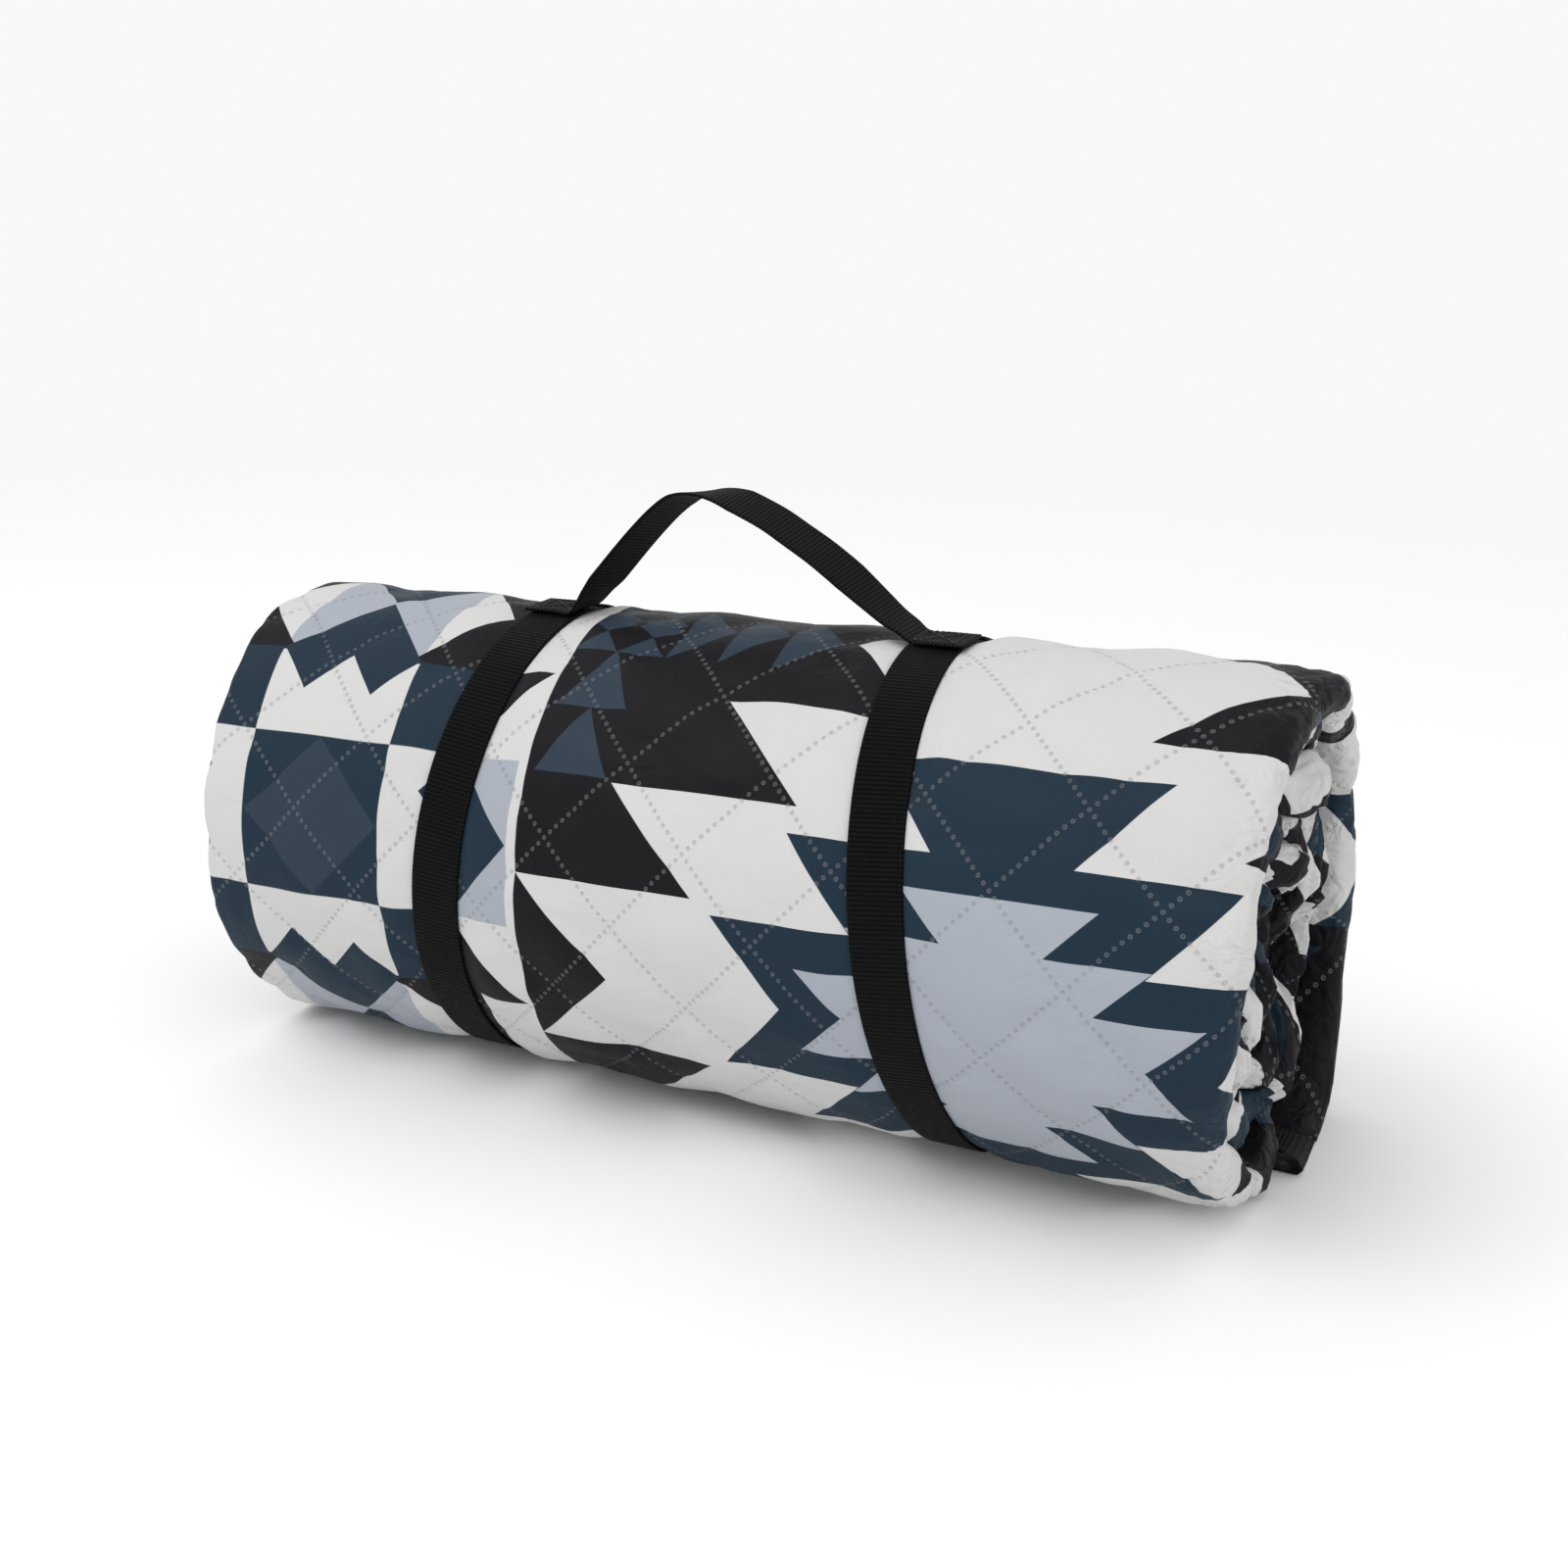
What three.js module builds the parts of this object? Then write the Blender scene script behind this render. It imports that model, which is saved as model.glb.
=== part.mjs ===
// Rolled quilted camp blanket in a webbing carry harness. Millimetres, +Z up.
// X runs along the roll, the front is -Y, and the origin is under the roll's axis, on the ground.
import * as THREE from 'three';

// ---- Driving dimensions ----
// The roll: an oval whose flats face down, up, front and back.
const rollLength = 500;
const rollHalfWidth = 100;
const rollHalfHeight = 115;
const sidesPerTurn = 16;
const coreStretch = 6;
const smallestCore = 12;
const outerEndSide = -2;
const rampSides = 2;

// The blanket folded in quarters: four plies, each a face, a wadding and a backing.
const plyPitch = 4.25;
const faceThickness = 0.75;
const backingThickness = 0.55;
const layerGap = 0.3;
const bindingWidth = 10;
const hemWidth = 12;
const foldSegments = 2;

// The webbing straps round the roll. across: where each strap's middle lies at top, side and bottom.
const webbingWidth = 25;
const webbingThickness = 1.6;
const strapClearance = 0.3;
const strapsAcross = {
  left: { top: -101.5, side: -118, bottom: -124 },
  right: { top: 91, side: 103.6, bottom: 122 },
};

// The hook-and-loop closure at the back of each strap.
const patchWidth = 20;
const patchThickness = 0.8;
const patchEndMargin = 4;
const tailStartSide = 2;
const tailSides = 1.66;
const lapRampStart = 0.62;
const lapRampEnd = 0.36;
const tailHingeGap = 0.4;

// The carry handle, sewn on the straps at the top.
const handleWidth = 25;
const handleThickness = 1.6;
const handleRise = 59;
const handleEndOverhang = 2;
const swingClearance = 1;
const footLap = 3;
const seatGap = 0.3;
const stitchInset = 2.5;
const stitchWidth = 1;
const stitchHeight = 0.5;
const handleSteps = 36;
// The bends of the handle: share of the way from foot to foot, and share of its rise over the hinge.
const handleBends = [
  [0.11, 0.35], [0.21, 0.75], [0.3, 0.95], [0.45, 1], [0.55, 0.97], [0.66, 0.78], [0.81, 0.42], [0.94, 0.16],
];

// ---- Sizes that follow ----
const plies = 4;
const bandThickness = plies * plyPitch;
const turns = Math.floor((rollHalfWidth - smallestCore) / bandThickness);
const lastStation = turns * sidesPerTurn - rampSides;
const sideAngle = 2 * Math.PI / sidesPerTurn;
const cornerReach = 1 / Math.cos(sideAngle / 2);
const heightPerWidth = (rollHalfHeight - coreStretch) / rollHalfWidth;
const strapInner = rollHalfWidth + strapClearance;
const strapOuter = strapInner + webbingThickness;
const loopInner = strapOuter + layerGap;
const hookInner = loopInner + patchThickness + layerGap;
const tailInner = hookInner + patchThickness + layerGap;
const tailOuter = tailInner + webbingThickness;

// ---- Materials ----
const finishes = {
  print: { color: 0xd9d8d8, roughness: 0.5 },
  wadding: { color: 0xf2f0ea, roughness: 0.95 },
  backing: { color: 0x232228, roughness: 0.6 },
  binding: { color: 0x1d1c20, roughness: 0.7 },
  webbing: { color: 0x17171a, roughness: 0.75 },
  hook: { color: 0x101012, roughness: 0.85 },
  loop: { color: 0x141416, roughness: 0.95 },
  thread: { color: 0x1f1f22, roughness: 0.6 },
};

function piece(name, geometry, finish) {
  const material = new THREE.MeshStandardMaterial({ ...finishes[finish], metalness: 0 });
  const mesh = new THREE.Mesh(geometry, material);
  mesh.name = name;
  return mesh;
}

// ---- The oval and the spiral ----
// Half the oval's height where it is this wide: the core is a little taller than wide.
function halfHeight(halfWidth) {
  return coreStretch + halfWidth * heightPerWidth;
}

// A corner of the oval's polygon, counted in sides from the +Y axis, as [y, z] about the roll's axis.
function ovalCorner(side, halfWidth) {
  const angle = (side + 0.5) * sideAngle;
  const y = halfWidth * cornerReach * Math.cos(angle);
  const z = halfHeight(halfWidth) * cornerReach * Math.sin(angle);
  return [y, z];
}

// A point part of the way along a side.
function between(first, second, share) {
  return first.map((value, axis) => value + (second[axis] - value) * share);
}

function ovalPoint(side, halfWidth) {
  const from = Math.floor(side);
  return between(ovalCorner(from, halfWidth), ovalCorner(from + 1, halfWidth), side - from);
}

// How far the band has wound in at a corner: level round each turn, then down by its own
// thickness over the last sides, before it passes under its own start.
function woundIn(station) {
  const turn = Math.floor(station / sidesPerTurn);
  const sidesLeft = sidesPerTurn * (turn + 1) - station;
  const ramp = Math.max(0, (rampSides - sidesLeft) / rampSides);
  return bandThickness * (turn + ramp);
}

function bandCorner(station, depth) {
  return ovalCorner(outerEndSide + station, rollHalfWidth - woundIn(station) - depth);
}

function bandPoint(station, depth) {
  const from = Math.floor(station);
  return between(bandCorner(from, depth), bandCorner(from + 1, depth), station - from);
}

// The share of a side that a length along the band takes.
function shareOfSide(length, station) {
  const middle = bandThickness / 2;
  const [y0, z0] = bandCorner(station, middle);
  const [y1, z1] = bandCorner(station + 1, middle);
  return length / Math.hypot(y1 - y0, z1 - z0);
}

// A closed body from points and triangles, with its faces turned outwards.
function closedBody(points, triangles) {
  const volume = triangles.reduce((sum, [a, b, c]) => {
    const cross = new THREE.Vector3().crossVectors(points[b], points[c]);
    return sum + points[a].dot(cross);
  }, 0);
  const outward = volume > 0 ? triangles : triangles.map(([a, b, c]) => [a, c, b]);
  const geometry = new THREE.BufferGeometry().setFromPoints(points);
  geometry.setIndex(outward.flat());
  geometry.computeVertexNormals();
  return geometry;
}

// Carries a profile of [x, depth] points along the rolled band, through the stations given.
function woundBody(profile, stations) {
  const count = profile.length;
  const points = stations.flatMap((station) => profile.map(([x, depth]) => {
    const [y, z] = bandPoint(station, depth);
    return new THREE.Vector3(x, y, z);
  }));
  const outline = profile.map(([x, depth]) => new THREE.Vector2(x, depth));
  const cap = THREE.ShapeUtils.triangulateShape(outline, []);
  const last = (stations.length - 1) * count;
  const triangles = cap.map(([a, b, c]) => [a, c, b]);
  cap.forEach(([a, b, c]) => triangles.push([a + last, b + last, c + last]));
  const flipped = THREE.ShapeUtils.isClockWise(outline);
  // Each side panel is split from its deeper corner, so that neighbouring layers bend alike.
  for (let row = 0; row < last; row += count) {
    for (let here = 0; here < count; here += 1) {
      const next = (here + 1) % count;
      const [a, b, c, d] = [row + here, row + next, row + count + next, row + count + here];
      const halves = profile[here][1] > profile[next][1] ? [[a, b, c], [a, c, d]] : [[a, b, d], [b, c, d]];
      halves.forEach(([p, q, r]) => triangles.push(flipped ? [p, r, q] : [p, q, r]));
    }
  }
  return closedBody(points, triangles);
}

// Stations from one place on the band to another, with every corner between them.
function stationsBetween(first, second) {
  const corners = [];
  for (let corner = Math.floor(first) + 1; corner < second; corner += 1) corners.push(corner);
  return [first, ...corners, second];
}

// ---- The folded section ----
// Seen across the band, the blanket runs right along the innermost ply, round the right fold to the
// outermost ply, back left, round the left fold, right again and back: an offset towards the face is
// positive. The open edges of the first and last runs lie at the left.
const faceReach = plyPitch / 2 - layerGap / 2;
const foldRight = rollLength / 2 - (1.5 * plyPitch + faceReach);
const foldLeft = -rollLength / 2 + plyPitch / 2 + faceReach;
const openEdge = -rollLength / 2;
const sheetEdge = openEdge + bindingWidth + layerGap;
const plyDepth = (ply) => (ply + 0.5) * plyPitch;

// A half turn from angle to angle about a fold's middle.
function foldArc(x, depth, radius, fromAngle, toAngle) {
  const arc = [];
  for (let step = 0; step <= foldSegments; step += 1) {
    const angle = fromAngle + (toAngle - fromAngle) * step / foldSegments;
    arc.push([x + radius * Math.cos(angle), depth + radius * Math.sin(angle)]);
  }
  return arc;
}

function foldedPath(offset) {
  const half = Math.PI / 2;
  const bandMiddle = bandThickness / 2;
  return [
    [sheetEdge, plyDepth(3) + offset],
    ...foldArc(foldRight, bandMiddle, 1.5 * plyPitch + offset, half, -half),
    ...foldArc(foldLeft, plyPitch, plyPitch / 2 + offset, -half, -3 * half),
    ...foldArc(foldRight, bandMiddle, plyPitch / 2 - offset, -half, half),
    [sheetEdge, plyDepth(2) - offset],
  ];
}

function foldedLayer(faceSide, backSide) {
  return [...foldedPath(faceSide), ...foldedPath(backSide).reverse()];
}

function edgeProfile(ply) {
  const near = plyDepth(ply) - faceReach;
  const far = plyDepth(ply) + faceReach;
  return [[openEdge, near], [openEdge + bindingWidth, near], [openEdge + bindingWidth, far], [openEdge, far]];
}

// ---- The blanket ----
const hemShare = shareOfSide(hemWidth, 0);
const hemGapShare = shareOfSide(layerGap, 0);
const coreHemShare = shareOfSide(hemWidth, lastStation - 1);
const coreGapShare = shareOfSide(layerGap, lastStation - 1);
const allStations = stationsBetween(0, lastStation);
const coreHemStations = stationsBetween(lastStation - coreHemShare, lastStation);
const sheetStations = stationsBetween(hemShare + hemGapShare, lastStation - coreHemShare - coreGapShare);
const faceInside = faceReach - faceThickness;
const backingInside = -faceReach + backingThickness;
const waddingOutside = faceInside - layerGap;
const waddingInside = backingInside + layerGap;

const blanket = [
  piece('printed_face', woundBody(foldedLayer(faceReach, faceInside), sheetStations), 'print'),
  piece('wadding', woundBody(foldedLayer(waddingOutside, waddingInside), sheetStations), 'wadding'),
  piece('waterproof_backing', woundBody(foldedLayer(backingInside, -faceReach), sheetStations), 'backing'),
  piece('side_binding_first', woundBody(edgeProfile(3), allStations), 'binding'),
  piece('side_binding_second', woundBody(edgeProfile(2), allStations), 'binding'),
  piece('outer_hem_binding', woundBody(foldedLayer(faceReach, -faceReach), [0, hemShare]), 'binding'),
  piece('inner_hem_binding', woundBody(foldedLayer(faceReach, -faceReach), coreHemStations), 'binding'),
];

// ---- The straps ----
// Where a strap's middle lies at a height: a smooth bend through its places at top, side and bottom.
function strapMiddle({ top, side, bottom }, z) {
  const share = z / halfHeight(strapOuter);
  const slope = (top - bottom) / 2;
  const bend = (top + bottom) / 2 - side;
  return side + slope * share + bend * share * share;
}

// A flat outline in Y and Z, given a width along X and laid along a strap.
function laidOnStrap(outline, holes, width, across) {
  const shape = new THREE.Shape(outline.map(([y, z]) => new THREE.Vector2(y, z)));
  shape.holes = holes.map((hole) => new THREE.Path(hole.map(([y, z]) => new THREE.Vector2(y, z))));
  const geometry = new THREE.ExtrudeGeometry(shape, { depth: width, bevelEnabled: false });
  const along = new THREE.Vector3(1, 0, 0);
  const back = new THREE.Vector3(0, 1, 0);
  const up = new THREE.Vector3(0, 0, 1);
  geometry.applyMatrix4(new THREE.Matrix4().makeBasis(back, up, along));
  const places = geometry.attributes.position;
  for (let vertex = 0; vertex < places.count; vertex += 1) {
    const x = places.getX(vertex) - width / 2 + strapMiddle(across, places.getZ(vertex));
    places.setX(vertex, x);
  }
  return geometry;
}

// A strip that follows the oval from one side to another, seen from the end. Sides count from +Y up.
function stripOutline(fromSide, toSide, innerWidth, outerWidth) {
  const sides = stationsBetween(fromSide, toSide);
  const outer = sides.map((side) => ovalPoint(side, outerWidth));
  const inner = sides.map((side) => ovalPoint(side, innerWidth));
  return [...outer, ...inner.reverse()];
}

// The strap is a closed ring. Just over the tail its end laps on itself and steps out to the tail.
function strapRing(across) {
  const rootStart = tailStartSide + lapRampStart;
  const rootTop = tailStartSide + lapRampEnd;
  const rootFoot = tailStartSide + shareOfSide(tailHingeGap, 0);
  const lap = [ovalPoint(rootFoot, tailOuter), ovalPoint(rootTop, tailOuter)];
  const outer = [ovalPoint(rootFoot, strapOuter), ...lap, ovalPoint(rootStart, strapOuter)];
  for (let side = tailStartSide + 1; side <= tailStartSide + sidesPerTurn; side += 1) {
    outer.push(ovalCorner(side, strapOuter));
  }
  const inner = [];
  for (let side = 0; side < sidesPerTurn; side += 1) inner.push(ovalCorner(side, strapInner));
  return laidOnStrap(outer, [inner], webbingWidth, across);
}

const tailEndSide = tailStartSide - tailSides;
const patchMargin = shareOfSide(patchEndMargin, 0);

function patchOutline(innerWidth) {
  const fromSide = tailEndSide + patchMargin;
  const toSide = tailStartSide - patchMargin;
  return stripOutline(fromSide, toSide, innerWidth, innerWidth + patchThickness);
}

const straps = Object.entries(strapsAcross).flatMap(([hand, across]) => [
  piece(`strap_${hand}`, strapRing(across), 'webbing'),
  piece(`loop_patch_${hand}`, laidOnStrap(patchOutline(loopInner), [], patchWidth, across), 'loop'),
  piece(`hook_patch_${hand}`, laidOnStrap(patchOutline(hookInner), [], patchWidth, across), 'hook'),
  piece(
    `strap_tail_${hand}`,
    laidOnStrap(stripOutline(tailEndSide, tailStartSide, tailInner, tailOuter), [], webbingWidth, across),
    'webbing',
  ),
]);

// ---- The handle ----
const seatHeight = halfHeight(strapOuter) + seatGap;
const endTop = seatHeight + handleThickness;
const hingeHeight = endTop + swingClearance + handleWidth / 2;
const riserTop = hingeHeight + footLap;
const handleTop = rollHalfHeight + handleRise;

// A flat outline in X and Z, given the handle's width along Y.
function acrossHandle(outline, holes, width) {
  const shape = new THREE.Shape(outline.map(([x, z]) => new THREE.Vector2(x, z)));
  shape.holes = holes.map((hole) => new THREE.Path(hole.map(([x, z]) => new THREE.Vector2(x, z))));
  const geometry = new THREE.ExtrudeGeometry(shape, { depth: width, bevelEnabled: false });
  geometry.rotateX(Math.PI / 2);
  geometry.translate(0, width / 2, 0);
  return geometry;
}

// inward is +1 where the handle lies to the right of the end, and -1 where it lies to the left.
function handleEnd(hand, inward) {
  const { top } = strapsAcross[hand];
  const outerX = top - inward * (webbingWidth / 2 + handleEndOverhang);
  const bendX = top + inward * webbingWidth / 2;
  const innerX = bendX + inward * handleThickness;
  const outline = [
    [outerX, seatHeight], [innerX, seatHeight], [innerX, riserTop], [bendX, riserTop], [bendX, endTop],
    [outerX, endTop],
  ];
  return { geometry: acrossHandle(outline, [], handleWidth), outerX, bendX, innerX };
}

// A box of stitches with a cross in it: a square plate with four three-cornered holes.
function boxStitch(fromX, toX) {
  const halfX = Math.abs(toX - fromX) / 2 - stitchInset;
  const halfY = handleWidth / 2 - stitchInset;
  const shape = new THREE.Shape();
  shape.moveTo(-halfX, -halfY);
  shape.lineTo(halfX, -halfY);
  shape.lineTo(halfX, halfY);
  shape.lineTo(-halfX, halfY);
  const reachX = halfX - stitchWidth;
  const reachY = halfY - stitchWidth;
  const slack = stitchWidth;
  const upright = [[-(reachX - slack), reachY], [reachX - slack, reachY], [0, slack]];
  const sideways = [[reachX, -(reachY - slack)], [reachX, reachY - slack], [slack, 0]];
  [[upright, 1], [upright, -1], [sideways, 1], [sideways, -1]].forEach(([corners, sign]) => {
    shape.holes.push(new THREE.Path(corners.map(([x, y]) => new THREE.Vector2(x * sign, y * sign))));
  });
  const geometry = new THREE.ExtrudeGeometry(shape, { depth: stitchHeight, bevelEnabled: false });
  geometry.translate((fromX + toX) / 2, 0, endTop + seatGap);
  return geometry;
}

const leftEnd = handleEnd('left', 1);
const rightEnd = handleEnd('right', -1);

// The handle's middle line: up from one foot, over the bends and down to the other foot.
function handleLine() {
  const half = handleThickness / 2;
  const leftX = leftEnd.innerX + seatGap + half;
  const rightX = rightEnd.innerX - seatGap - half;
  const rise = handleTop - half - hingeHeight;
  const bends = handleBends.map(([across, up]) => (
    new THREE.Vector3(leftX + across * (rightX - leftX), 0, hingeHeight + up * rise)
  ));
  const leftKnee = new THREE.Vector3(leftX, 0, hingeHeight + footLap);
  const rightKnee = new THREE.Vector3(rightX, 0, hingeHeight + footLap);
  const curve = new THREE.CatmullRomCurve3([leftKnee, ...bends, rightKnee], false, 'centripetal');
  const feet = [leftX, rightX].map((x) => new THREE.Vector3(x, 0, hingeHeight - footLap));
  return [feet[0], ...curve.getPoints(handleSteps), feet[1]];
}

// The line's two sides, each half a thickness out, joined as one outline.
function handleOutline() {
  const line = handleLine();
  const half = handleThickness / 2;
  const side = (sign) => line.map((point, index) => {
    const before = line[Math.max(0, index - 1)];
    const after = line[Math.min(line.length - 1, index + 1)];
    const run = after.clone().sub(before).normalize();
    return [point.x - sign * half * run.z, point.z + sign * half * run.x];
  });
  return [...side(1), ...side(-1).reverse()];
}

const handle = [
  piece('handle_end_left', leftEnd.geometry, 'webbing'),
  piece('handle_end_right', rightEnd.geometry, 'webbing'),
  piece('handle_stitching_left', boxStitch(leftEnd.outerX, leftEnd.bendX), 'thread'),
  piece('handle_stitching_right', boxStitch(rightEnd.outerX, rightEnd.bendX), 'thread'),
  piece('carry_handle', acrossHandle(handleOutline(), [], handleWidth), 'webbing'),
];

// ---- The whole, standing on the straps ----
const campBlanket = new THREE.Group();
campBlanket.add(...blanket, ...straps, ...handle);
campBlanket.position.z = halfHeight(strapOuter);

export default campBlanket;
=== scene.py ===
"""A rolled camp blanket in its webbing harness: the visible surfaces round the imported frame."""

import math

import bpy
import numpy as np
from mathutils import Matrix, Vector


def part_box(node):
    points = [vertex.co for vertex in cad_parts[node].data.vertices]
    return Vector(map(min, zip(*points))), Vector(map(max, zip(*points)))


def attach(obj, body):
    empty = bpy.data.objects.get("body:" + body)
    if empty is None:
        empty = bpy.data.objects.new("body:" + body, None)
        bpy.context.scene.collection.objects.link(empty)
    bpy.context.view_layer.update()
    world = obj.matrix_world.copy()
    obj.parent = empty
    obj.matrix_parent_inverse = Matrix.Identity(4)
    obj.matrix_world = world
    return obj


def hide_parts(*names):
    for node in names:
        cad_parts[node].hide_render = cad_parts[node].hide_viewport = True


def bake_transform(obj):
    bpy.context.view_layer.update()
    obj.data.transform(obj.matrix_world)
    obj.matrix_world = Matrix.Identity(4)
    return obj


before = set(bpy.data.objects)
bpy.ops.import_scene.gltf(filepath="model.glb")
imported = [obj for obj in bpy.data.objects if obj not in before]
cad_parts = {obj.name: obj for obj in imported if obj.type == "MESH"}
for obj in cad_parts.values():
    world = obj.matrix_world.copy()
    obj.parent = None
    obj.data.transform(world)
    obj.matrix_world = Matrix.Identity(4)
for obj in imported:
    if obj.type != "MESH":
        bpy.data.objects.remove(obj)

bl_info = {
    "name": "Rolled Camp Blanket",
    "version": (1, 0, 0),
    "blender": (4, 5, 0),
    "location": "View3D > Sidebar > Camp Blanket",
    "description": "Builds a quilted camp blanket, rolled up and held by a webbing harness",
    "category": "Add Mesh",
}

# ---- Sizes taken from the frame, in metres ----
FACE_LOW, FACE_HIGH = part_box("printed_face")
STRAP_LOW, STRAP_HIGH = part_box("strap_left")
HALF_LENGTH = (FACE_HIGH.x - FACE_LOW.x) / 2
HALF_WIDTH = (FACE_HIGH.y - FACE_LOW.y) / 2
HALF_HEIGHT = (FACE_HIGH.z - FACE_LOW.z) / 2
AXIS_Z = (STRAP_HIGH.z + STRAP_LOW.z) / 2
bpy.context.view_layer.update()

# ---- The roll ----
PLY = 0.00425
PLIES = 4
BAND = PLIES * PLY
TURNS = 5 - 2 / 16
RAMP = 2 / 16
CORE_STRETCH = 0.006
HEIGHT_PER_WIDTH = (HALF_HEIGHT - CORE_STRETCH) / HALF_WIDTH
START_ANGLE = math.radians(-33.75)
FRONT_TURN = (math.pi - START_ANGLE) / (2 * math.pi)
FOLD_REACH = PLY / 2 - 0.00015
FOLD_RIGHT = HALF_LENGTH - 1.5 * PLY - FOLD_REACH
FOLD_LEFT = -HALF_LENGTH + PLY / 2 + FOLD_REACH
BINDING = 0.010
HEM = 0.012

# The underside sinks by SINK from the height SINK_FROM down, and what lies between SOFT and LOW is
# pressed up to between SOFT and GROUND.
SINK, SINK_FROM = 0.0034, 0.05
LOW, SOFT, GROUND = -0.004, 0.014, 0.0007

# ---- The quilting and the print: CELL is half a diamond's width, and the rest counts in cells ----
CELL = 0.0347
CENTRE_CELL = 1.725
QUILT_RISE = 1.08
QUILT_SHIFT = 0.902
QUILT_SKEW = 0.0379
PRINT_SKEW = 0.018

# Across the cloth the print mirrors about the medallion's middle and the star's, which is STAR
# further on. Along the cloth the medallions and dark columns mirror every ROW, and the star blocks
# every STAR_HALF. The dark column's straight base is at -COLUMN.
MEDALLION = 6.1
STAR = 9.80
ROW = 5.28
COLUMN = 0.41

# The star block, from its middle: its inner square, its crowns, its edge and its tips, which the
# edge cuts short across the cloth.
SQUARE = 1.12
CROWN = 2.38
STAR_HALF = 3.54
TIP = 3.58

# ---- The webbing ----
WEBBING = 0.025
WEB_HALF = 0.0008

# Where each strap's middle lies along the roll: at the top, the side and the bottom.
STRAPS = {
    "left": (-0.1015, -0.118, -0.124),
    "right": (0.091, 0.1036, 0.122),
}

# The handle's middle line between its sewn ends, as places along the roll and heights, and how far
# its flat side turns about that line, in radians, at places along the roll.
HANDLE_BENDS = (
    (-0.0845, 0.2395), (-0.0755, 0.2500), (-0.0665, 0.2605), (-0.0575, 0.2705), (-0.0485, 0.2795),
    (-0.0400, 0.2860), (-0.0310, 0.2893), (-0.0215, 0.2899), (-0.0120, 0.2882), (-0.0020, 0.2846),
    (0.0080, 0.2803), (0.0190, 0.2742), (0.0300, 0.2680), (0.0410, 0.2608), (0.0500, 0.2543),
    (0.0590, 0.2476), (0.0670, 0.2418), (0.0735, 0.2382),
)
HANDLE_TWIST = ((-0.094, 0), (-0.080, 0.27), (-0.040, 0.25), (-0.010, -0.2), (0.045, -0.24), (0.078, 0))

# The straps stand off the roll by STRAP_GAP.
STRAP_GAP = 0.0003
TOP_OF_STRAP = STRAP_GAP + 2 * WEB_HALF

# ---- Finishes that are the same on every such blanket ----
BACKING_BLACK = (0.014, 0.014, 0.016)
TAPE_BLACK = (0.008, 0.008, 0.009)
LOOP_BLACK = (0.010, 0.010, 0.011)
HOOK_BLACK = (0.013, 0.013, 0.014)
THREAD_BLACK = (0.014, 0.014, 0.016)
# The weld dots' grey is partly a painted glint: it lightens the dots' rims on the dark print and darkens
# them on the white.
DOT_GLINT_GREY = (0.42, 0.425, 0.44)

# ---- The closures: angles about the roll's axis, in degrees ----
TAIL_SPAN = (77, 19)
TAIL_LIFTS, TAIL_LIFTED = 72, 60
PATCH_SPAN = (50, 23)
HINGE = 56.25
HINGE_BLEND = 0.10
PATCH_HALF_WIDTH = 0.010
PATCH_HALF = 0.0004

# ---- The stitching of the handle's ends ----
BOX_HALF = 0.0098
STITCH = 0.0028
THREAD = 0.00028

# ---- The studio. Each lamp has a name, a place, a size and a power ----
FLOOR_SIDE = 20.0
FLOOR_WHOLE, FLOOR_GONE = 1.2, 2.6
BACKDROP_LIGHT = 0.94
LENS = 45.11
CAMERA_PLACE = (0.3846, -0.8005, 0.3135)
CAMERA_TURN, CAMERA_DIP = math.radians(24.81), math.radians(17.31)
LAMPS = (
    ("key_softbox", (-0.7, -1.1, 2.0), 1.5, 17),
    ("side_softbox", (2.0, -0.9, 0.9), 1.0, 5),
)


# ---- Small helpers ----
def smooth(x):
    """Zero below 0, one above 1, and 3x^2 - 2x^3 between."""
    x = np.clip(x, 0, 1)
    return x * x * (3 - 2 * x)


def ripple(u, v, wave, seed, count=9):
    """A smooth uneven field: the mean of count sine waves of about that wavelength,
    each with a direction and phase of its own from the seed. It stays within about 1."""
    rng = np.random.default_rng(seed)
    total = 0
    for angle, phase, stretch in zip(
        rng.uniform(0, 2 * np.pi, count), rng.uniform(0, 2 * np.pi, count), rng.uniform(0.7, 1.4, count)
    ):
        number = 2 * np.pi * stretch / wave
        total = total + np.sin(number * (u * np.cos(angle) + v * np.sin(angle)) + phase)
    return total / np.sqrt(count / 2) / 1.6


def grid_faces(rows, columns, close_rows=False, close_columns=False):
    """The quads of a grid of rows by columns points, closed round either way if asked."""
    row = np.arange(rows if close_rows else rows - 1)
    column = np.arange(columns if close_columns else columns - 1)
    r, c = np.meshgrid(row, column, indexing="ij")
    r2, c2 = (r + 1) % rows, (c + 1) % columns
    quads = np.stack([r * columns + c, r * columns + c2, r2 * columns + c2, r2 * columns + c], -1)
    return quads.reshape(-1, 4)


def end_caps(rows, columns):
    """The first and the last ring of a grid as single faces, facing away from each other."""
    last = (rows - 1) * columns
    return [list(range(columns))[::-1], [last + column for column in range(columns)]]


def mesh_piece(name, points, quads, caps=(), uv=None, materials=(), indices=None):
    """A mesh object from arrays of points and quads, with end caps as single faces."""
    mesh = bpy.data.meshes.new(name)
    faces = [*quads.tolist(), *caps]
    mesh.from_pydata(points.reshape(-1, 3).tolist(), [], faces)
    if uv is not None:
        layer = mesh.uv_layers.new(name="cloth")
        corners = np.zeros(len(mesh.loops), np.int32)
        mesh.loops.foreach_get("vertex_index", corners)
        layer.data.foreach_set("uv", uv.reshape(-1, 2)[corners].astype(np.float32).ravel())
    for material in materials:
        mesh.materials.append(material)
    if indices is not None:
        values = np.zeros(len(mesh.polygons), np.int32)
        values[: len(indices)] = indices
        mesh.polygons.foreach_set("material_index", values)
    mesh.polygons.foreach_set("use_smooth", np.full(len(mesh.polygons), True))
    mesh.update()
    piece = bpy.data.objects.new(name, mesh)
    bpy.context.scene.collection.objects.link(piece)
    return piece


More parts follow.
